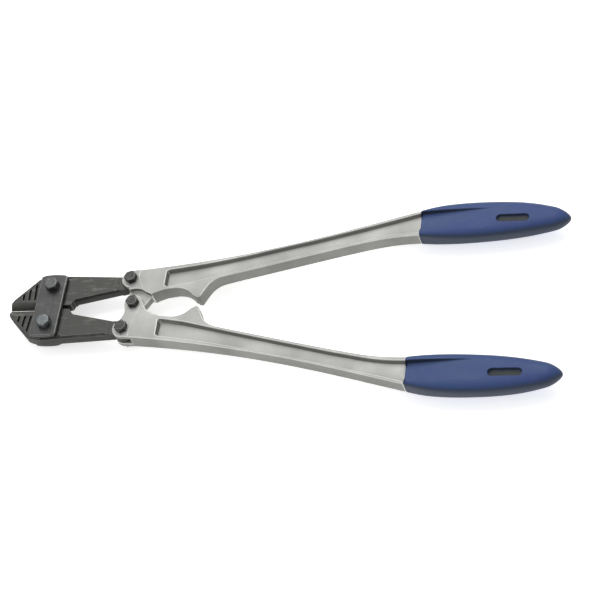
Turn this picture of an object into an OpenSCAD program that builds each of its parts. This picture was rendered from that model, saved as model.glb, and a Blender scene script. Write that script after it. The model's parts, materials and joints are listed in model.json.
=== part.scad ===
// Bolt cutters with compound lever action.
// Millimetres. The tool lies on its side: +X from the jaws to the grips, +Y across the
// handles towards the upper one, +Z up out of the front face. The origin is at the middle
// of the bounding box's underside. Inside the modules the centre pivot is at 0, 0, 0.

/* [Head] */
// distance of each jaw pivot from the middle line
jaw_pivot_y = 23.8; // [22:0.1:26]
// distance of the jaw pivots in front of the centre pivot
jaw_pivot_x = 97.2; // [95:0.1:99]
// thickness of the jaws at the cutting edges
jaw_thick = 13; // [12:0.5:14]
// thickness of the jaw tails inside the forks
tail_thick = 9; // [8:0.5:9]
// height of the cutting bevel on each jaw
bevel_height = 8.2; // [6:0.1:9]
// width of each head plate along the tool
plate_width = 31; // [29:0.5:32]
// length of each head plate across the tool
plate_length = 79.8; // [77:0.2:81]
// thickness of each head plate
plate_thick = 5; // [4:0.5:6]

/* [Handles] */
// thickness of the forks
fork_thick = 20.4; // [20:0.1:22]
// thickness of the handle beams
beam_thick = 16.2; // [15.6:0.2:17]
// thickness of the web between the two long pockets
web_thick = 7; // [6:0.2:9]
// thickness of the slot in each fork
slot_thick = 9.2; // [9.2:0.1:9.6]
// outside radius of the fork ears at the jaw links
ear_radius = 11; // [10.6:0.1:11.4]

/* [Grips] */
// thickness of the grips
grip_thick = 24; // [22:0.5:26]
// edge radius of the grips
grip_edge = 8; // [7:0.5:9]

/* [Bolts] */
// shank radius of the three handle bolts
link_shank = 4; // [3.8:0.1:4.1]
// width across the flats of the handle bolts
link_flats = 12.4; // [12:0.1:13]
// shank radius of the two jaw bolts
jaw_shank = 5; // [4.6:0.1:5.2]
// width across the flats of the jaw bolts
jaw_flats = 14; // [13:0.5:15]
// radial clearance of the turning joints
running = 0.05; // [0.02:0.01:0.1]

/* [Hidden] */
jaw_pivot = [-jaw_pivot_x, jaw_pivot_y];
link_pivot = [-7.4, 31.6];
plate_gap = 0.1;
plate_base = jaw_thick / 2 + plate_gap;
plate_face = plate_base + plate_thick;
jaw_washer = 1.8;
jaw_nut = 7;
jaw_head = 8;
link_washer = 1.6;
link_nut = 6;
link_head = 6;
tip_x = 146;
edge_gap = 0.12;
grip_end = 465.6;
centre_x = (grip_end - tip_x) / 2;
base_z = plate_face + jaw_washer + jaw_nut;
centre_play = 2.4;
centre_ear = 10;
tongue_radius = 10.5;
tongue_thick = slot_thick - 0.2;
collar_x = 307;
black_steel = [0.20, 0.20, 0.20];
bolt_steel = [0.28, 0.29, 0.30];
bush_bronze = [0.62, 0.47, 0.26];
cast_alloy = [0.72, 0.72, 0.70];
blue_vinyl = [0.17, 0.25, 0.45];
$fn = 96;

// Points of an arc about a centre, from one angle to another.
function arc(c, r, a, b, n) =
  [for (i = [0:n]) c + r * [cos(a + (b - a) * i / n), sin(a + (b - a) * i / n)]];

// Points of a cubic curve through two ends with two control points.
function curve(p, q, r, s, n) =
  [for (i = [0:n]) let (t = i / n, u = 1 - t)
    u * u * u * p + 3 * u * u * t * q + 3 * u * t * t * r + t * t * t * s];

// Everything below is drawn about the centre pivot and moved once.
module placed() {
  translate([-centre_x, 0, base_z]) children();
}

module other_side() {
  mirror([0, 1, 0]) children();
}

// Bevels the top edge of a solid along a convex path that runs anticlockwise.
module edge_break(path, level, size, drop) {
  for (i = [0:len(path) - 2]) {
    step = path[i + 1] - path[i];
    translate([path[i][0], path[i][1], level])
      rotate([0, 0, atan2(step[1], step[0])])
        translate([-size, size, 0])
          rotate([180 - atan2(size, drop), 0, 0])
            translate([0, 0, -3 * size])
              cube([norm(step) + 2 * size, 4 * size, 6 * size]);
  }
}

module both_faces() {
  children();
  mirror([0, 0, 1]) children();
}

// ---- jaws ----

// The nose, from the top of the plate round to the cutting edge.
nose = concat(
  curve([-98, 41.6], [-106, 41.6], [-112.4, 40.6], [-118.2, 37.4], 4),
  curve([-142.4, 12], [-144.8, 9], [-tip_x, 5.5], [-tip_x, edge_gap], 5));
outer_edge = [[-23, 37.5], [-98, 41.6]];
inner_edge = [[-72.6, 7.7], [-18, 19.8]];
inner_break = [[-69, 8.5], [-21, 19.1]];

module jaw_outline() {
  polygon(concat(
    nose,
    [[-106, edge_gap], [-98, 0.25], [-75, 2.75], [-74.3, 3.4]],
    inner_edge,
    arc(link_pivot, 10, -105, 150, 24),
    [outer_edge[0]]));
}

// The arm is a little thinner behind the plates, and the tail narrows inside the ears.
module tail_steps() {
  both_faces() {
    translate([-78, -5, 6.1])
      cube([90, 60, 5]);
    translate([-27, -5, 5.5])
      cube([3, 60, 5]);
    translate([-22.4, -5, 5.5])
      cube([40, 60, 5]);
    translate([link_pivot[0], link_pivot[1], tail_thick / 2])
      cylinder(r = ear_radius + 0.6, h = 10);
  }
}

// The wedge ground off each side of the cutting edge.
module bevel() {
  both_faces()
    rotate([0, 90, 0])
      translate([0, 0, -150])
        linear_extrude(150 - 109)
          polygon([
            [0.25, -8], [0.25, edge_gap - 0.26], [-jaw_thick / 2 - 0.1, bevel_height],
            [-20, bevel_height], [-20, -8]]);
}

// Three slots cut into the front of the jaw nose beside the head plate.
module nose_slots() {
  for (i = [0:2])
    translate([-132.9 + 6.9 * i, 10.2, jaw_thick / 2 - 2.8])
      rotate([0, 0, 4])
        linear_extrude(4)
          polygon([[0, 0], [2.4, 0], [2.4, 8.6 + 6.4 * i], [0, 6.2 + 6.4 * i]]);
}

module jaw() {
  color(black_steel)
    difference() {
      translate([0, 0, -jaw_thick / 2])
        linear_extrude(jaw_thick)
          jaw_outline();
      tail_steps();
      bevel();
      nose_slots();
      both_faces() {
        edge_break(nose, jaw_thick / 2, 1.3, 1.3);
        edge_break(outer_edge, 6.1, 3.2, 1.1);
        edge_break(inner_break, 6.1, 1.5, 2.4);
      }
      translate([jaw_pivot[0], jaw_pivot[1], -20])
        cylinder(r = jaw_shank + 2, h = 40);
      translate([link_pivot[0], link_pivot[1], -20])
        cylinder(r = link_shank + 2, h = 40);
    }
}

module upper_jaw() {
  placed() jaw();
}

module lower_jaw() {
  placed() other_side() jaw();
}

// ---- head plates ----

plate_half = plate_width / 2;
plate_end = plate_length / 2;
plate_path = concat(
  arc([plate_half - 3.5, plate_end - 4.8], 3.5, 0, 82, 5),
  arc([0, plate_end - 75], 75, 80.5, 99.5, 6),
  arc([3.5 - plate_half, plate_end - 4.8], 3.5, 98, 180, 5),
  arc([3.5 - plate_half, 4.8 - plate_end], 3.5, 180, 262, 5),
  arc([0, 75 - plate_end], 75, 260.5, 279.5, 6),
  arc([plate_half - 3.5, 4.8 - plate_end], 3.5, 278, 360, 5));

module head_plate() {
  color(black_steel)
    difference() {
      translate([-98, 0, plate_base])
        linear_extrude(plate_thick)
          polygon(plate_path);
      translate([-98, 0, 0])
        edge_break(concat(plate_path, [plate_path[0]]), plate_face, 0.9, 0.9);
      for (side = [-1, 1])
        translate([jaw_pivot[0], side * jaw_pivot[1], 0])
          cylinder(r = jaw_shank, h = 30);
    }
}

module front_plate() {
  placed() head_plate();
}

module rear_plate() {
  placed() mirror([0, 0, 1]) head_plate();
}

// ---- bolts, washers, nuts and bushes ----

module hexagon(flats) {
  polygon([for (i = [0:5]) flats / sqrt(3) * [cos(60 * i + 20), sin(60 * i + 20)]]);
}

// A hexagon with its outer corners turned off.
module hex_block(flats, height) {
  intersection() {
    linear_extrude(height)
      hexagon(flats);
    union() {
      cylinder(r = flats / sqrt(3) + 1, h = height - 1.4);
      translate([0, 0, height - 1.4])
        cylinder(r1 = flats / sqrt(3) + 1.1, r2 = flats / 2 - 0.9, h = 1.4);
    }
  }
}

// The shank runs down from the head and ends in a chamfer below the nut.
module bolt(flats, head, shank, face, tail) {
  color(bolt_steel) {
    translate([0, 0, face])
      hex_block(flats, head);
    translate([0, 0, -tail])
      cylinder(r = shank, h = face + tail + 0.5);
    translate([0, 0, -tail - 0.7])
      cylinder(r1 = shank - 0.7, r2 = shank, h = 0.7);
  }
}

// A sprung washer, cut through on one side.
module washer(shank, outer, thick, face) {
  color(bolt_steel)
    translate([0, 0, -face - thick])
      difference() {
        cylinder(r = outer, h = thick);
        translate([0, 0, -1])
          cylinder(r = shank, h = thick + 2);
        translate([shank - 1, -0.6, -1])
          cube([outer, 1.2, thick + 2]);
      }
}

module nut(flats, shank, height, face) {
  color(bolt_steel)
    translate([0, 0, -face])
      mirror([0, 0, 1])
        difference() {
          hex_block(flats, height);
          translate([0, 0, -1])
            cylinder(r = shank, h = height + 2);
        }
}

module bush(inner, outer, thick) {
  color(bush_bronze)
    translate([0, 0, -thick / 2])
      difference() {
        cylinder(r = outer, h = thick);
        translate([0, 0, -1])
          cylinder(r = inner, h = thick + 2);
      }
}

module at_jaw_pivot(side) {
  placed() translate([jaw_pivot[0], side * jaw_pivot[1], 0]) children();
}

module at_link_pivot(side) {
  placed() translate([link_pivot[0], side * link_pivot[1], 0]) children();
}

module jaw_bolt() {
  bolt(jaw_flats, jaw_head, jaw_shank, plate_face, plate_face + jaw_washer + jaw_nut - 1.4);
}

module link_bolt() {
  bolt(link_flats, link_head, link_shank, fork_thick / 2, fork_thick / 2 + link_washer + link_nut + 0.3);
}

module upper_jaw_bolt() {
  at_jaw_pivot(1) jaw_bolt();
}

module lower_jaw_bolt() {
  at_jaw_pivot(-1) rotate([0, 0, 24]) jaw_bolt();
}

module upper_jaw_washer() {
  at_jaw_pivot(1) washer(jaw_shank, 8.6, jaw_washer, plate_face);
}

module lower_jaw_washer() {
  at_jaw_pivot(-1) washer(jaw_shank, 8.6, jaw_washer, plate_face);
}

module upper_jaw_nut() {
  at_jaw_pivot(1) nut(16, jaw_shank, jaw_nut, plate_face + jaw_washer);
}

module lower_jaw_nut() {
  at_jaw_pivot(-1) nut(16, jaw_shank, jaw_nut, plate_face + jaw_washer);
}

module upper_jaw_bush() {
  at_jaw_pivot(1) bush(jaw_shank + running, jaw_shank + 2, jaw_thick);
}

module lower_jaw_bush() {
  at_jaw_pivot(-1) bush(jaw_shank + running, jaw_shank + 2, jaw_thick);
}

module upper_link_bolt() {
  at_link_pivot(1) link_bolt();
}

module lower_link_bolt() {
  at_link_pivot(-1) rotate([0, 0, 8]) link_bolt();
}

module centre_bolt() {
  placed() rotate([0, 0, -14]) link_bolt();
}

module upper_link_washer() {
  at_link_pivot(1) washer(link_shank, 7, link_washer, fork_thick / 2);
}

module lower_link_washer() {
  at_link_pivot(-1) washer(link_shank, 7, link_washer, fork_thick / 2);
}

module centre_washer() {
  placed() washer(link_shank, 7, link_washer, fork_thick / 2);
}

module upper_link_nut() {
  at_link_pivot(1) nut(13, link_shank, link_nut, fork_thick / 2 + link_washer);
}

module lower_link_nut() {
  at_link_pivot(-1) nut(13, link_shank, link_nut, fork_thick / 2 + link_washer);
}

module centre_nut() {
  placed() nut(13, link_shank, link_nut, fork_thick / 2 + link_washer);
}

module upper_link_bush() {
  at_link_pivot(1) bush(link_shank + running, link_shank + 2, tail_thick);
}

module lower_link_bush() {
  at_link_pivot(-1) bush(link_shank + running, link_shank + 2, tail_thick);
}

module centre_bush() {
  placed() bush(link_shank + centre_play, link_shank + centre_play + 1.6, tongue_thick);
}

// ---- handles ----

// The outside edge, from the ear to the collar.
outside = concat(
  curve([-5.6, 42.5], [60, 48.2], [130, 61], [190, 75.6], 12),
  curve([215, 81.9], [250, 91.2], [280, 99.6], [collar_x, 107], 8));

// The inside edge, from the collar past the stop to the corner beside the pivot.
inside = concat(
  curve([collar_x, 75], [275, 74.6], [262, 71.4], [225, 63], 8),
  curve([190, 54.6], [158, 46.6], [130, 39.6], [103, 33.2], 5),
  curve([94.6, 31], [85.6, 28], [81.6, 21.6], [77.6, 13.2], 7),
  arc([72.2, 8.8], 3.1, -8, -128, 6),
  curve([66, 8.9], [61.2, 14.6], [55, 18.3], [45, 18.4], 7),
  [[32.7, 16.8], [24, 13.8]]);

module beam_outline() {
  polygon(concat(
    arc(link_pivot, ear_radius, 265, 84, 24),
    outside,
    inside,
    [[18.5, 11]],
    arc([0, 0], 18.3, 50, 114, 8)));
}

// Half thickness along the handle: full at the fork, slimmer along the beam.
module beam_side(raised) {
  rotate([90, 0, 0])
    translate([0, 0, -130])
      linear_extrude(260)
        polygon([
          [-30, fork_thick / 2 - raised], [12, fork_thick / 2 - raised],
          [120, beam_thick / 2], [400, beam_thick / 2],
          [400, -beam_thick / 2], [120, -beam_thick / 2],
          [12, raised - fork_thick / 2], [-30, raised - fork_thick / 2]]);
}

// The long pocket in each face of the beam.
module pocket_outline() {
  polygon(concat(
    [[31.5, 22.4], [33.6, 20.7]],
    curve([60, 24.9], [120, 40.2], [180, 55.4], [225, 66.2], 10),
    curve([258, 73.6], [280, 78.6], [295, 79.4], [320, 79.4], 5),
    curve([320, 107.6], [290, 99], [250, 88], [190, 73.4], 8),
    curve([150, 64.4], [110, 54.6], [70, 47], [34.4, 42.2], 8),
    [[31.6, 40.4]]));
}

module beam_blank() {
  difference() {
    intersection() {
      translate([0, 0, -20])
        linear_extrude(40)
          children();
      beam_side(0.5);
    }
    both_faces()
      translate([0, 0, web_thick / 2])
        linear_extrude(20)
          pocket_outline();
  }
}

// The flat tongue on which the grip is moulded.
module tang() {
  translate([0, 0, -web_thick / 2])
    linear_extrude(web_thick)
      polygon([
        [300, 80], [345, 79.5], [385, 81], [415, 84], [436, 89.5], [443, 94],
        [436, 98.5], [415, 104], [385, 107], [345, 106.5], [300, 102]]);
}

// Space for the jaw tail between the ears.
module link_slot() {
  translate([0, 0, -slot_thick / 2])
    linear_extrude(slot_thick) {
      translate(link_pivot)
        circle(r = 10.6);
      translate([-30, link_pivot[1]])
        square([32.5, 30]);
      translate([-30, 20.3])
        square([23.4, 20]);
    }
}

module bolt_hole(at) {
  translate([at[0], at[1], -20])
    cylinder(r = link_shank, h = 40);
}

module upper_handle() {
  placed() color(cast_alloy)
    difference() {
      union() {
        difference() {
          union() {
            beam_blank() beam_outline();
            raised_ears([[-30, 60], [-30, 10], [2, 10], [8, 18.3], [1.3, 34], [1.3, 60]]) beam_outline();
          }
          link_slot();
          bolt_hole(link_pivot);
        }
        tang();
        tongue();
      }
      translate([0, 0, -20])
        cylinder(r = link_shank + centre_play + 1.6, h = 40);
    }
}

// The single eye between the lower handle's ears.
module tongue() {
  translate([0, 0, -tongue_thick / 2])
    linear_extrude(tongue_thick) {
      circle(r = tongue_radius);
      polygon([[-10.3, -2], [-7.6, 19], [6, 24], [20, 14.5], [18.5, 11], [9.2, -5]]);
    }
}

// Full thickness pads round the pivots.
module raised_ears(region) {
  intersection() {
    translate([0, 0, -fork_thick / 2])
      linear_extrude(fork_thick)
        children();
    translate([0, 0, -20])
      linear_extrude(40)
        polygon(region);
  }
}

// The lower handle as seen mirrored: its ears also carry the centre pivot.
module lower_outline() {
  beam_outline();
  circle(r = centre_ear);
  polygon(concat(
    [[7.2, -7], [15.5, 8], [24, 13.8], [24, 24], [-8.6, 24]],
    curve([-12.4, 22], [-8.4, 17], [-6.6, 11], [-9.4, 3.4], 6)));
}

module lower_handle() {
  placed() other_side() color(cast_alloy)
    difference() {
      union() {
        beam_blank() lower_outline();
        raised_ears([[-30, 60], [-30, -20], [12, -20], [8.6, 3.4], [1.3, 34], [1.3, 60]]) lower_outline();
        tang();
      }
      link_slot();
      bolt_hole(link_pivot);
      bolt_hole([0, 0]);
      tongue_slot();
    }
}

// Room for the upper handle's tongue to swing.
module tongue_slot() {
  translate([0, 0, -slot_thick / 2])
    linear_extrude(slot_thick) {
      circle(r = tongue_radius + centre_play + 0.2);
      translate([-30, -20])
        square([54, 32.6]);
    }
}

// ---- grips ----

module grip_row(x, low, high, edge, thick) {
  for (y = [low + edge, high - edge])
    for (z = [-1, 1])
      translate([x, y, z * (thick / 2 - edge)])
        sphere(r = edge, $fn = 24);
}

module grip(slot_at) {
  color(blue_vinyl)
    difference() {
      hull() {
        grip_row(collar_x + 3, 74.2, 107.8, 3.5, 21);
        grip_row(326, 72.2, 112.8, 6, grip_thick - 1);
        grip_row(350, 71.2, 116, grip_edge, grip_thick - 0.5);
        grip_row(375, 71.8, 116.9, grip_edge, grip_thick);
        grip_row(400, 73.8, 116, grip_edge, grip_thick);
        grip_row(425, 77.2, 113.2, grip_edge, grip_thick - 1);
        grip_row(443, 80.6, 109.4, grip_edge, grip_thick - 4);
        translate([grip_end - 10, 94.6, 0])
          sphere(r = 10, $fn = 24);
      }
      translate([collar_x - 20, 60, -20])
        cube([20, 60, 40]);
      tang();
      both_faces() {
        grip_channel();
        grip_slot(slot_at);
      }
    }
}

// The pocket of the beam runs on into the grip and fades out.
module grip_channel() {
  translate([0, 104.5, 0])
    rotate([90, 0, 0])
      linear_extrude(24)
        polygon([[300, 4.2], [390, 12.4], [390, 20], [300, 20]]);
}

// The moulded slot near the end of the grip.
module grip_slot(at) {
  translate([at[0], at[1], grip_thick / 2 - 3.4])
    linear_extrude(6) {
      translate([-14, 0])
        circle(r = 4);
      translate([14, 0])
        circle(r = 4);
      translate([-14, -4])
        square([28, 8]);
    }
}

module upper_grip() {
  placed() grip([403, 90.6]);
}

module lower_grip() {
  placed() other_side() grip([409, 97.2]);
}

upper_jaw();
lower_jaw();
front_plate();
rear_plate();
upper_jaw_bolt();
lower_jaw_bolt();
upper_jaw_washer();
lower_jaw_washer();
upper_jaw_nut();
lower_jaw_nut();
upper_jaw_bush();
lower_jaw_bush();
upper_handle();
lower_handle();
upper_grip();
lower_grip();
upper_link_bolt();
lower_link_bolt();
centre_bolt();
upper_link_washer();
lower_link_washer();
centre_washer();
upper_link_nut();
lower_link_nut();
centre_nut();
upper_link_bush();
lower_link_bush();
centre_bush();
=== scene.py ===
import json
import math
import bmesh
import bpy
import numpy as np
from mathutils import Matrix, Vector


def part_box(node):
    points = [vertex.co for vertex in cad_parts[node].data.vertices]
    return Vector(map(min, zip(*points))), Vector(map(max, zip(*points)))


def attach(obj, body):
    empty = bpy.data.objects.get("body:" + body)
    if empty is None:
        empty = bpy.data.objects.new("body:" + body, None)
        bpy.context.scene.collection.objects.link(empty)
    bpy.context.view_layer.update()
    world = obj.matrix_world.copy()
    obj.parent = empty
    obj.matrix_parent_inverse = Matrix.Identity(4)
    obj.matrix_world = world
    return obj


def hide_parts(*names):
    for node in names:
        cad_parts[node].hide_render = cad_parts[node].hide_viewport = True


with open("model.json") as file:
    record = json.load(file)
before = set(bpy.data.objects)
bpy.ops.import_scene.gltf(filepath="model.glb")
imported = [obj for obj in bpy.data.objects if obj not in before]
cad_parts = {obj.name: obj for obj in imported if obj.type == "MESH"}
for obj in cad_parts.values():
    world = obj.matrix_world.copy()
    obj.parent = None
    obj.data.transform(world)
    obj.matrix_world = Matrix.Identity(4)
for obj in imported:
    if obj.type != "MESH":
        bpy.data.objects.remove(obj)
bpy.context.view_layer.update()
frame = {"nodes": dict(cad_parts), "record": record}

mm = 0.001  # metres
record = frame["record"]
bodyOf = {node: body for body, group in record["behaviour"]["bodies"].items() for node in group}


def middle(node):
    low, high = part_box(node)
    return (low + high) / 2


# the centre pivot, at half the tool's thickness: lengths below are measured from it
pivot = Vector((middle("centre_bolt").x, middle("centre_bolt").y, middle("upper_jaw").z))
print("frame loaded, centre pivot at", tuple(round(v, 4) for v in pivot))


view = {
    "azimuth": 26.727,      # degrees round from the front
    "elevation": 53.319,    # degrees above the floor
    "roll": -23.827,
    "distance": 1.9496,     # metres
    "aim": (183.79, 3.29),  # mm from the centre pivot
    "focal": 110.846,       # mm
    "sensor": 36,           # mm wide
    "farthest": 50,         # metres
}

studio = {
    "sky": "#ffffff",
    "skyStrength": 0.42,
    "key": {"size": 2.6, "power": 54, "from": (-0.3, 1.5, 2.3)},  # metres and watts
    "fill": {"size": 2.0, "power": 8, "from": (-1.6, -0.6, 1.8)},
}


def addCamera(s):
    az, el, roll = (math.radians(s[k]) for k in ("azimuth", "elevation", "roll"))
    back = Vector((math.sin(az) * math.cos(el), -math.cos(az) * math.cos(el), math.sin(el)))
    side = Vector((math.cos(az), math.sin(az), 0))
    up = back.cross(side)
    right = side * math.cos(roll) + up * math.sin(roll)
    top = up * math.cos(roll) - side * math.sin(roll)
    place = pivot + Vector((s["aim"][0] * mm, s["aim"][1] * mm, 0)) + back * s["distance"]
    data = bpy.data.cameras.new("camera")
    data.lens = s["focal"]
    data.sensor_width = s["sensor"]
    data.clip_end = s["farthest"]
    camera = bpy.data.objects.new("camera", data)
    camera.matrix_world = Matrix((
        (right.x, top.x, back.x, place.x),
        (right.y, top.y, back.y, place.y),
        (right.z, top.z, back.z, place.z),
        (0, 0, 0, 1)))
    bpy.context.scene.collection.objects.link(camera)
    bpy.context.scene.camera = camera


def addPanel(name, s):
    data = bpy.data.lights.new(name, "AREA")
    data.size = s["size"]
    data.energy = s["power"]
    lamp = bpy.data.objects.new(name, data)
    lamp.location = Vector(s["from"])
    lamp.rotation_euler = (pivot - lamp.location).to_track_quat("-Z", "Y").to_euler()
    bpy.context.scene.collection.objects.link(lamp)


def linear(hexColour):
    values = [int(hexColour[i:i + 2], 16) / 255 for i in (1, 3, 5)]
    return tuple(v / 12.92 if v <= 0.04045 else ((v + 0.055) / 1.055) ** 2.4 for v in values) + (1,)


# adds a node, sets its inputs or properties by name, and links inputs from other sockets
def addNode(tree, kind, links=None, **settings):
    node = tree.nodes.new(kind)
    for name, value in settings.items():
        if name in node.inputs:
            node.inputs[name].default_value = value
        else:
            setattr(node, name, value)
    for name, source in (links or {}).items():
        tree.links.new(source, node.inputs[name])
    return node


def startMaterial(name, **sockets):
    material = bpy.data.materials.new(name)
    material.use_nodes = True
    tree = material.node_tree
    tree.nodes.clear()
    shader = addNode(tree, "ShaderNodeBsdfPrincipled")
    for socket, value in sockets.items():
        shader.inputs[socket].default_value = value
    addNode(tree, "ShaderNodeOutputMaterial", {"Surface": shader.outputs["BSDF"]})
    place = addNode(tree, "ShaderNodeTexCoord").outputs["Object"]
    return material, tree, shader, place


# noise of a size in mm, as a value that is 0 at the noise value low and 1 at the noise value high
def patches(tree, place, size, detail, low, high, stretch=(1, 1, 1)):
    turned = addNode(tree, "ShaderNodeMapping", {"Vector": place}, Scale=stretch).outputs["Vector"]
    noise = addNode(tree, "ShaderNodeTexNoise", {"Vector": turned}, Scale=1 / (size * mm), Detail=detail)
    return addNode(tree, "ShaderNodeMapRange", {"Value": noise.outputs["Fac"]},
                   **{"From Min": low, "From Max": high}).outputs["Result"]


# mixes two colours, each a hex or a socket, by a 0 to 1 socket
def blendColour(tree, amount, first, second):
    node = addNode(tree, "ShaderNodeMixRGB", {"Fac": amount})
    for socket, colour in (("Color1", first), ("Color2", second)):
        if isinstance(colour, str):
            node.inputs[socket].default_value = linear(colour)
        else:
            tree.links.new(colour, node.inputs[socket])
    return node.outputs["Color"]


def times(tree, value, factor):
    node = addNode(tree, "ShaderNodeMath", {0: value}, operation="MULTIPLY")
    node.inputs[1].default_value = factor
    return node.outputs["Value"]


# turns a 0 to 1 socket into a number from low to high
def spread(tree, amount, low, high):
    return addNode(tree, "ShaderNodeMapRange", {"Value": amount},
                   **{"To Min": low, "To Max": high}).outputs["Result"]


# bump of a depth in mm from a 0 to 1 height, laid over another bump
def bump(tree, height, depth, under=None):
    links = {"Height": height}
    if under is not None:
        links["Normal"] = under
    return addNode(tree, "ShaderNodeBump", links, Strength=1.0, Distance=depth * mm).outputs["Normal"]


# patterns in the dictionaries below: size in mm, detail, the noise values that read as 0 and as 1,
# and for a drawn-out pattern how far it is squeezed along x, y and z


def castAluminium(name, s):
    # aluminium casting, tumbled and bead blasted: pale grey, fine dull grain, cloudy satin sheen
    material, tree, shader, place = startMaterial(name, Metallic=s["metallic"])
    cloud = patches(tree, place, *s["cloud"])
    grain = patches(tree, place, *s["grain"])
    tone = blendColour(tree, cloud, s["pale"], s["dull"])
    specks = times(tree, grain, s["speckle"])
    tree.links.new(blendColour(tree, specks, tone, s["dark"]), shader.inputs["Base Color"])
    tree.links.new(spread(tree, cloud, *s["rough"]), shader.inputs["Roughness"])
    ripple = bump(tree, patches(tree, place, *s["ripple"]), s["rippleDepth"])
    tree.links.new(bump(tree, grain, s["grainDepth"], ripple), shader.inputs["Normal"])
    return material


blastedCasting = {
    "pale": "#b5b5b2", "dull": "#a9a9a6", "dark": "#7a7a78", "speckle": 0.2,
    "metallic": 0.5, "rough": (0.5, 0.62),
    "cloud": (34, 3, 0.32, 0.68),
    "grain": (0.9, 2, 0.3, 0.7), "grainDepth": 0.035,  # real grit is 0.2 mm, drawn coarser to show
    "ripple": (9, 2, 0.3, 0.7), "rippleDepth": 0.05,
}
# the steep sides and pocket walls of the handles take this darker tone, a painted shade
castShadedSide = dict(blastedCasting, pale="#949490", dull="#888884", speckle=0.3)
# the broken edges of the handles take this paler, glossier tone: rubbed by wear, and paler still as a
# painted highlight along the rims
rubbedAndHighlitRim = dict(blastedCasting, pale="#dededb", dull="#d0d0cd", speckle=0.1,
                 metallic=0.7, rough=(0.3, 0.42))


def oxidedSteel(name, s):
    # drop forged steel, ground and black oxided: near black, mottled by oil and scale, scuffed lengthways
    material, tree, shader, place = startMaterial(name, Metallic=s["metallic"])
    mottle = patches(tree, place, *s["mottle"])
    scuff = patches(tree, place, *s["scuff"])
    lines = patches(tree, place, *s["lines"])
    tone = blendColour(tree, mottle, s["black"], s["grey"])
    worn = times(tree, scuff, s["wear"])
    tree.links.new(blendColour(tree, worn, tone, s["bare"]), shader.inputs["Base Color"])
    tree.links.new(spread(tree, mottle, *s["rough"]), shader.inputs["Roughness"])
    pits = bump(tree, mottle, s["pitDepth"])
    tree.links.new(bump(tree, lines, s["lineDepth"], pits), shader.inputs["Normal"])
    return material


forgedJaw = {  # the flats are ground, the sides are left as forged
    "black": "#3b3b39", "grey": "#464643", "bare": "#8a8a85", "wear": 0.3,
    "metallic": 0.6, "rough": (0.36, 0.52),
    "mottle": (7, 4, 0.35, 0.65), "pitDepth": 0.02,
    "scuff": (5, 3, 0.56, 0.72, (0.25, 1, 1)),
    "lines": (0.8, 2, 0.3, 0.7, (0.06, 1, 1)), "lineDepth": 0.03,
}
forgedRim = dict(forgedJaw, black="#565653", grey="#6a6a67", wear=0.4, metallic=0.7, rough=(0.34, 0.46))
# the steep sides of the jaws take this darker tone: left as forged, and darker still as a painted shade
forgedShadedSide = dict(forgedJaw, black="#2b2b29", grey="#383836", wear=0.15, metallic=0.5, rough=(0.45, 0.6))
# the cutting bevels take this paler, matt tone: bare ground steel, and lighter still as a painted highlight
groundHighlitWedge = dict(forgedJaw, black="#595955", grey="#656561", metallic=0.15, rough=(0.65, 0.8))
# the nose slots take this near black tone, a painted shade in the recesses
slotPaintedShade = dict(forgedJaw, black="#1d1d1c", grey="#262625", wear=0.1, metallic=0.3, rough=(0.6, 0.8))

pressedPlate = dict(forgedJaw, black="#404040", grey="#505150", wear=0.2,
                    mottle=(11, 4, 0.35, 0.65), lines=(0.6, 2, 0.3, 0.7, (0.06, 1, 1)))
# the sides of the plates take this darker tone, a painted shade
plateSide = dict(pressedPlate, black="#2c2c2b", grey="#3a3a39", wear=0.15, metallic=0.5)
plateRim = dict(pressedPlate, black="#747472", grey="#878785", wear=0.4, metallic=0.7, rough=(0.32, 0.44))

bolt = dict(forgedJaw, black="#333332", grey="#424241", wear=0.25, metallic=0.75, rough=(0.3, 0.45),
            mottle=(3, 4, 0.35, 0.65), scuff=(2, 3, 0.56, 0.72, (0.25, 1, 1)))
boltRim = dict(bolt, black="#6a6b6b", grey="#7c7e7e", wear=0.5, rough=(0.28, 0.4))
jawBolt = dict(bolt, black="#474848", grey="#5b5c5c")
wornBolt = dict(bolt, black="#53585a", grey="#666b6d", bare="#a9aba8", wear=0.6)
springSteel = dict(bolt, black="#6a6b6b", grey="#858686", wear=0.3, metallic=0.9, rough=(0.28, 0.4))


def turnedBronze(name, s):
    # oil-filled bronze bush, turned: warm yellow with fine rings
    material, tree, shader, place = startMaterial(name, Metallic=s["metallic"])
    cloud = patches(tree, place, *s["cloud"])
    rings = patches(tree, place, *s["rings"])
    tree.links.new(blendColour(tree, cloud, s["bright"], s["dull"]), shader.inputs["Base Color"])
    tree.links.new(spread(tree, rings, *s["rough"]), shader.inputs["Roughness"])
    tree.links.new(bump(tree, rings, s["ringDepth"]), shader.inputs["Normal"])
    return material


bushBronze = {
    "bright": "#b98f52", "dull": "#96713d", "metallic": 1.0, "rough": (0.25, 0.4),
    "cloud": (4, 2, 0.35, 0.65),
    "rings": (0.4, 1, 0.3, 0.7, (0.05, 0.05, 1)), "ringDepth": 0.01,
}


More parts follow.
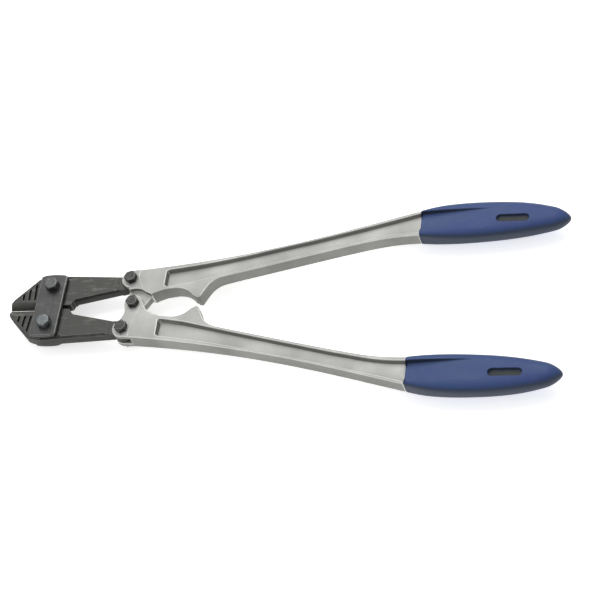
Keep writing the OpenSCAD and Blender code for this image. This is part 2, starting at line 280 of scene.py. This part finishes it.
def mouldedVinyl(name, s):
    # soft PVC moulded over the tang: deep blue, fine spark-eroded grain, waxy sheen, rubbed paler in places
    material, tree, shader, place = startMaterial(name, **{
        "Specular IOR Level": s["specular"],
        "Sheen Weight": s["sheen"],
        "Sheen Roughness": s["sheenRough"],
    })
    cloud = patches(tree, place, *s["cloud"])
    grain = patches(tree, place, *s["grain"])
    rub = patches(tree, place, *s["rub"])
    tone = blendColour(tree, cloud, s["blue"], s["violet"])
    tone = blendColour(tree, times(tree, rub, s["rubbing"]), tone, s["rubbed"])
    # the steep sides are painted darker as shade: how level the surface is runs from the side to the crown
    slope = addNode(tree, "ShaderNodeNewGeometry").outputs["Normal"]
    rise = addNode(tree, "ShaderNodeSeparateXYZ", {"Vector": slope}).outputs["Z"]
    level = addNode(tree, "ShaderNodeMath", {0: rise}, operation="ABSOLUTE").outputs["Value"]
    crown = addNode(tree, "ShaderNodeMapRange", {"Value": level},
                    **{"From Min": s["fullShadeBelow"], "From Max": s["crownFrom"]}).outputs["Result"]
    tree.links.new(blendColour(tree, crown, s["side"], tone), shader.inputs["Base Color"])
    tree.links.new(spread(tree, cloud, *s["rough"]), shader.inputs["Roughness"])
    tree.links.new(bump(tree, grain, s["grainDepth"]), shader.inputs["Normal"])
    return material


blueVinyl = {
    "blue": "#2d4a79", "violet": "#36487f", "rubbed": "#4c6090", "rubbing": 0.22,
    # side is a painted shade: the steep sides of the grip take this colour in place of the blue
    "side": "#2b374b", "fullShadeBelow": 0.52, "crownFrom": 0.93,
    "specular": 0.36, "sheen": 0.06, "sheenRough": 0.4, "rough": (0.42, 0.56),
    "cloud": (22, 3, 0.3, 0.7, (0.4, 1, 1)),
    "rub": (9, 4, 0.52, 0.75),
    "grain": (0.8, 2, 0.3, 0.7), "grainDepth": 0.04,
}
dustyVinyl = dict(blueVinyl, blue="#4a4d47", violet="#3f4345", rubbed="#6a6c66", side="#4a4d47",
                  rough=(0.6, 0.8))

finishes = {
    "casting": castAluminium("castAluminiumBlasted", blastedCasting),
    "castingSide": castAluminium("castAluminiumPaintedShade", castShadedSide),
    "castingRim": castAluminium("castAluminiumRimWearAndHighlight", rubbedAndHighlitRim),
    "jaw": oxidedSteel("forgedSteelBlackOxide", forgedJaw),
    "jawEdge": oxidedSteel("forgedSteelRubbedEdge", forgedRim),
    "jawSide": oxidedSteel("forgedSteelAsForgedAndShaded", forgedShadedSide),
    "jawWedge": oxidedSteel("forgedSteelGroundWedgeHighlit", groundHighlitWedge),
    "jawSlot": oxidedSteel("forgedSteelSlotPaintedShade", slotPaintedShade),
    "plate": oxidedSteel("plateSteelBlackOxide", pressedPlate),
    "plateSide": oxidedSteel("plateSteelSidePaintedShade", plateSide),
    "plateEdge": oxidedSteel("plateSteelWornEdge", plateRim),
    "bolt": oxidedSteel("boltSteelBlackOxide", bolt),
    "boltEdge": oxidedSteel("boltSteelWornEdge", boltRim),
    "jawBolt": oxidedSteel("boltSteelOiled", jawBolt),
    "wornBolt": oxidedSteel("boltSteelRubbedBright", wornBolt),
    "washer": oxidedSteel("springSteelPlain", springSteel),
    "bush": turnedBronze("bushBronzeTurned", bushBronze),
    "grip": mouldedVinyl("vinylMouldedBlue", blueVinyl),
    "gripSlot": mouldedVinyl("vinylSlotDusty", dustyVinyl),
}
print("materials made:", len(finishes))


solidRules = {
    "join": 0.004,      # mm: points closer than this are one
    "flat": 0.6,        # degrees: faces that turn less than this are one
    "slim": 0.42,       # a bevel takes at most this share of the narrower face beside its edge
    "short": 1.25,      # and is at most this many times as wide as its edge is long
    "passes": 40,       # times that widths are evened along a run
    "straightOn": -0.6,  # cosine between two edges, seen from their shared point, that go on as one run
    "segments": 2,
    "areaWeight": 80,   # how much large faces lead the shading
}


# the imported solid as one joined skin, with flat faces whole again
def mergedCopy(node, s):
    skin = bmesh.new()
    skin.from_mesh(frame["nodes"][node].data)
    bmesh.ops.remove_doubles(skin, verts=skin.verts, dist=s["join"] * mm)
    bmesh.ops.dissolve_limit(skin, angle_limit=math.radians(s["flat"]), verts=skin.verts, edges=skin.edges)
    return skin


# leans the pocket walls: the points on the web move into the pocket along the level part of their normal
def slopePocket(skin, s):
    skin.normal_update()
    points = (np.array([v.co for v in skin.verts]) - np.array(pivot)) / mm
    level = np.array([v.normal for v in skin.verts])[:, :2]
    level[points[:, 0] > s["openEnd"], 0] = 0
    size = np.linalg.norm(level, axis=1)
    onWeb = np.abs(np.abs(points[:, 2]) - s["web"]) < s["webTolerance"]
    inPocket = (points[:, 0] > s["start"]) & (points[:, 0] < s["openEnd"] + 1)
    move = onWeb & inPocket & (size > s["leastTurn"])
    level[move] *= (s["lean"] * mm / size[move])[:, None]
    skin.verts.ensure_lookup_table()
    for i in np.nonzero(move)[0]:
        skin.verts[i].co.x += level[i, 0]
        skin.verts[i].co.y += level[i, 1]


# a bevel weight for each sharp edge: full on wide faces, less where the narrower face beside it is slim;
# edges wholly between two of the crisp heights above or below the mid-plane stay crisp
def edgeWeights(skin, width, sharp, crisp, s):
    layer = skin.edges.layers.float.new("bevel_weight_edge")
    for edge in skin.edges:
        if len(edge.link_faces) != 2 or edge.calc_face_angle(0) < math.radians(sharp):
            continue
        heights = [abs(v.co.z - pivot.z) / mm for v in edge.verts]
        if any(low < min(heights) and max(heights) < high for low, high in crisp):
            edge.smooth = False
            continue
        slim = min(2 * face.calc_area() / face.calc_perimeter() for face in edge.link_faces)
        widest = min(s["slim"] * slim, s["short"] * edge.calc_length())
        edge[layer] = min(1, widest / (width * mm))
    # along a smooth run of edges the widest bevel holds, since unequal ones would cross
    for turn in range(s["passes"]):
        for vert in skin.verts:
            run = [edge for edge in vert.link_edges if edge[layer] > 0]
            if len(run) != 2 or run[0][layer] == run[1][layer]:
                continue
            first, second = ((edge.other_vert(vert).co - vert.co).normalized() for edge in run)
            if first.dot(second) < s["straightOn"]:
                run[0][layer] = run[1][layer] = max(run[0][layer], run[1][layer])


# a finished piece that rides its node's body and takes the node's place
def addPiece(name, mesh, node, *slots):
    piece = bpy.data.objects.new(name, mesh)
    bpy.context.scene.collection.objects.link(piece)
    for slot in slots:
        mesh.materials.append(finishes[slot])
    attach(piece, bodyOf[node])
    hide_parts(node)
    return piece


def within(spot, zone):
    return (zone["x"][0] < spot.x < zone["x"][1] and zone["y"][0] < abs(spot.y) < zone["y"][1]
            and abs(spot.z) < zone["top"])


# flat faces keep the first material and sides take the third, a darker tone that paints shade on them; on a
# jaw the nose slots take the fourth, a painted shade, and the ground wedge the fifth, partly a painted
# highlight
def sortFaces(skin, s):
    skin.normal_update()
    for face in skin.faces:
        spot = (face.calc_center_median() - pivot) / mm
        if abs(face.normal.z) < s["flatFrom"]:
            face.material_index = 4 if "wedge" in s and within(spot, s["wedge"]) else 2
        if "slots" in s and within(spot, s["slots"]):
            face.material_index = 3


def breakEdges(node, name, s, *slots):
    skin = mergedCopy(node, solidRules)
    if "pocket" in s:
        slopePocket(skin, s["pocket"])
    if "flatFrom" in s:
        sortFaces(skin, s)
    edgeWeights(skin, s["edge"], s["sharp"], s.get("crisp", ()), solidRules)
    bmesh.ops.triangulate(skin, faces=[face for face in skin.faces if len(face.verts) > 4])
    mesh = bpy.data.meshes.new(name)
    skin.to_mesh(mesh)
    skin.free()
    mesh.shade_smooth()
    piece = addPiece(name, mesh, node, *slots)
    bevel = piece.modifiers.new("broken edges", "BEVEL")
    bevel.width = s["edge"] * mm
    bevel.segments = solidRules["segments"]
    bevel.limit_method = "WEIGHT"
    bevel.use_clamp_overlap = False
    # the broken edges take the second material: worn paler, and on the handles also a painted highlight
    bevel.material = 1  # the rim
    shade = piece.modifiers.new("flat faces", "WEIGHTED_NORMAL")
    shade.mode = "FACE_AREA"
    shade.weight = solidRules["areaWeight"]
    shade.keep_sharp = True


# edge is the width of the broken edge in mm, sharp the least turn in degrees that gets one
handle = {
    "edge": 0.8, "sharp": 24, "flatFrom": 0.9,
    "crisp": [(3.4, 3.6)],  # where the pocket walls meet the web
    "pocket": {
        "web": 3.5, "webTolerance": 0.05, "lean": 1.8, "leastTurn": 0.2,
        "start": 28, "openEnd": 306.5,
    },
}
jaw = {
    "edge": 0.35, "sharp": 18, "flatFrom": 0.97,
    "crisp": [(-1, 0.6), (3, 4.9)],  # the cutting edge, and the floors of the nose slots
    # the wedge zone takes the paler bevel tone, partly a painted highlight, and the slots zone takes a
    # painted shade
    "wedge": {"x": (-200, -100), "y": (-1, 9), "top": 20},
    "slots": {"x": (-134.5, -115), "y": (9, 33), "top": 6.4},
}
for side in ("upper", "lower"):
    breakEdges(side + "_handle", side + "HandleCasting", handle, "casting", "castingRim", "castingSide")
    breakEdges(side + "_jaw", side + "JawForging", jaw, "jaw", "jawEdge", "jawSide", "jawSlot", "jawWedge")
print("handles and jaws finished")


def paint(node, slot):
    frame["nodes"][node].data.materials.clear()
    frame["nodes"][node].data.materials.append(finishes[slot])


plate = {"edge": 0.4, "sharp": 24, "flatFrom": 0.9}
for face in ("front", "rear"):
    breakEdges(face + "_plate", face + "HeadPlate", plate, "plate", "plateEdge", "plateSide")

hexagon = {"edge": 0.22, "sharp": 20}
for node in ("upper_link", "lower_link", "centre"):
    breakEdges(node + "_bolt", node.replace("_", "") + "BoltBlack", hexagon, "bolt", "boltEdge")
breakEdges("upper_jaw_bolt", "upperjawBoltBlack", hexagon, "jawBolt", "boltEdge")
breakEdges("lower_jaw_bolt", "lowerjawBoltBright", hexagon, "wornBolt", "boltEdge")
for node in ("upper_jaw", "lower_jaw", "upper_link", "lower_link", "centre"):
    breakEdges(node + "_nut", node.replace("_", "") + "NutBlack", hexagon, "bolt", "boltEdge")
    paint(node + "_washer", "washer")
    paint(node + "_bush", "bush")
print("plates, bolts, nuts, washers and bushes finished")


grip = {  # mm from the centre pivot
    "stations": (307, 326, 350, 375, 400, 425, 443, 456, 465.6),
    "low": (74.2, 72.2, 71.2, 71.8, 73.8, 77.2, 80.6, 83.8, 86.4),
    "high": (107.8, 112.8, 116, 116.9, 116, 113.2, 109.4, 105.6, 102.6),
    "thick": (21, 22.8, 23.6, 24, 24, 23.2, 21, 18.8, 17),
    "squareness": (5.5, 4.2, 3.4, 3.0, 2.9, 2.7, 2.4, 2.2, 2.1),
    "capStart": 449, "capPower": 0.52,
    "lip": 1.4, "lipShare": 0.05, "lipPower": 2.5,  # the mouth is rounded in over the lip
    "mouth": 0.86,                                  # and closed by a ring this much smaller
    "channel": {"low": 80.6, "high": 104.4, "floor": 4.3, "fadeAt": 390, "top": 12.2, "edge": 1.4},
    "slotHalf": 17, "slotRound": 4.1, "slotDepth": 3.3, "slotEdge": 0.7, "slotAbove": 5,
    "rows": 300, "bunching": 1.25,                  # rows lie closer towards the tip
    "around": 240, "ovalPower": 0.62, "ovalY": 21, "ovalZ": 12, "samples": 4001,
}


# a smooth curve through stations: a cubic between each two, its slope from the neighbours on both sides
def through(xs, ys, x):
    xs, ys = np.array(xs, float), np.array(ys, float)
    slope = np.gradient(ys, xs)
    i = np.clip(np.searchsorted(xs, x) - 1, 0, len(xs) - 2)
    h = xs[i + 1] - xs[i]
    t = (x - xs[i]) / h
    return ((1 + 2 * t) * (1 - t) ** 2 * ys[i] + t * (1 - t) ** 2 * h * slope[i]
            + t * t * (3 - 2 * t) * ys[i + 1] + t * t * (t - 1) * h * slope[i + 1])


# rises smoothly from 0 to 1 while the value crosses zero, over the width of the edge
def step(value, edge):
    t = np.clip(value / edge + 0.5, 0, 1)
    return t * t * (3 - 2 * t)


# a sine or cosine to a power, with its sign kept
def bulge(wave, power):
    return np.sign(wave) * np.abs(wave) ** power


# a squarish oval carried along the handle: half width times cosine and half height times sine, each to
# a power, shrunk to a blunt point at the end by (1 - t squared) to a power, then pressed in by the channel
# and the slot
def gripSurface(s, slotAt):
    start, end = s["stations"][0], s["stations"][-1]
    x = start + (end - start) * (1 - (1 - np.linspace(0, 1, s["rows"])) ** s["bunching"])
    outline = ("low", "high", "thick", "squareness")
    low, high, thick, square = (through(s["stations"], s[key], x) for key in outline)
    t = np.clip((x - s["capStart"]) / (end - s["capStart"]), 0, 1)
    cap = (1 - t ** 2) ** s["capPower"]
    lip = 1 - s["lipShare"] * (1 - np.clip((x - start) / s["lip"], 0, 1)) ** s["lipPower"]
    halfY, halfZ, midY = (high - low) / 2 * cap * lip, thick / 2 * cap * lip, (high + low) / 2

    # even steps round the ring, measured on one typical oval
    around = np.linspace(0, 2 * np.pi, s["samples"])
    oval = np.stack([bulge(np.cos(around), s["ovalPower"]) * s["ovalY"],
                     bulge(np.sin(around), s["ovalPower"]) * s["ovalZ"]], 1)
    run = np.concatenate([[0], np.cumsum(np.linalg.norm(np.diff(oval, axis=0), axis=1))])
    a = np.interp(np.linspace(0, run[-1], s["around"], endpoint=False), run, around)

    power = (2 / square)[:, None]
    y = midY[:, None] + halfY[:, None] * bulge(np.cos(a), power)
    z = halfZ[:, None] * bulge(np.sin(a), power)
    x = np.repeat(x[:, None], len(a), 1)

    c = s["channel"]
    floor = c["floor"] + (c["top"] - c["floor"]) * (x - start) / (c["fadeAt"] - start)
    across = step(y - c["low"], c["edge"]) * step(c["high"] - y, c["edge"])
    z -= np.sign(z) * np.clip(np.abs(z) - floor, 0, None) * across * (x < c["fadeAt"])

    along = np.clip(np.abs(x - slotAt[0]) - s["slotHalf"] + s["slotRound"], 0, None)
    outside = np.hypot(along, np.abs(y - slotAt[1])) - s["slotRound"]
    z -= np.sign(z) * s["slotDepth"] * step(-outside, s["slotEdge"]) * (np.abs(z) > s["slotAbove"])
    return np.stack([x, y, z], 2) * mm


# joins rings of points into a skin, closed by a pole in the middle of the first and the last ring
def closedTube(name, rings):
    rows, cols = rings.shape[:2]
    index = np.arange(rows * cols).reshape(rows, cols)
    beside = np.roll(index, -1, 1)
    quads = np.stack([index[:-1], index[1:], beside[1:], beside[:-1]], 2).reshape(-1, 4)
    ends = [rows * cols, rows * cols + 1]
    first = np.stack([np.full(cols, ends[0]), index[0], beside[0]], 1)
    last = np.stack([np.full(cols, ends[1]), beside[-1], index[-1]], 1)
    points = np.concatenate([rings.reshape(-1, 3), [rings[0].mean(0)], [rings[-1].mean(0)]])
    mesh = bpy.data.meshes.new(name)
    mesh.from_pydata(points.tolist(), [], quads.tolist() + first.tolist() + last.tolist())
    mesh.shade_smooth()
    return mesh


def addGrip(side, sign, slotAt, s):
    rings = gripSurface(s, slotAt)
    mouth = rings[:1].mean(1, keepdims=True)
    rings = np.concatenate([mouth + (rings[:1] - mouth) * [1, s["mouth"], s["mouth"]], rings[:-1]])
    rings[..., 1] *= sign
    if sign > 0:
        rings = rings[:, ::-1]
    mesh = closedTube(side + "Grip", rings + np.array(pivot))
    addPiece(side + "GripVinyl", mesh, side + "_grip", "grip", "gripSlot")
    for face in mesh.polygons:
        x, y = ((face.center - pivot) / mm).xy
        along = max(0, abs(x - slotAt[0]) - s["slotHalf"] + s["slotRound"])
        if math.hypot(along, abs(y * sign - slotAt[1])) < s["slotRound"] - s["slotEdge"]:
            face.material_index = 1  # the dusty slot


addGrip("upper", 1, (406, 90.6), grip)
addGrip("lower", -1, (409.5, 97.2), grip)
print("grips moulded")


floorSheet = {
    "size": 14.0,  # metres
    "pale": "#f6f6f6", "shade": "#f3f3f3", "fibre": (3, 3, 0.3, 0.7),
    "glow": 0.62,  # the white acrylic is lit from below
    "rough": 0.9, "specular": 0.1,
}


def addFloor(s):
    half = s["size"] / 2
    mesh = bpy.data.meshes.new("floor")
    corners = [(-half, -half, 0), (half, -half, 0), (half, half, 0), (-half, half, 0)]
    mesh.from_pydata(corners, [], [(0, 1, 2, 3)])
    # white acrylic sheet, matt, faintly uneven
    material, tree, shader, place = startMaterial(
        "acrylicSheetWhite", Roughness=s["rough"], **{"Specular IOR Level": s["specular"]})
    fibre = patches(tree, place, *s["fibre"])
    tree.links.new(blendColour(tree, fibre, s["pale"], s["shade"]), shader.inputs["Base Color"])
    shader.inputs["Emission Color"].default_value = linear("#ffffff")
    shader.inputs["Emission Strength"].default_value = s["glow"]
    mesh.materials.append(material)
    floor = bpy.data.objects.new("floor", mesh)
    bpy.context.scene.collection.objects.link(floor)


def addSky(s):
    world = bpy.data.worlds.new("sky")
    world.use_nodes = True
    world.node_tree.nodes["Background"].inputs["Color"].default_value = linear(s["sky"])
    world.node_tree.nodes["Background"].inputs["Strength"].default_value = s["skyStrength"]
    bpy.context.scene.world = world
    bpy.context.scene.view_settings.view_transform = "Standard"


addCamera(view)
addFloor(floorSheet)
addSky(studio)
addPanel("key", studio["key"])
addPanel("fill", studio["fill"])
print("stage lit")
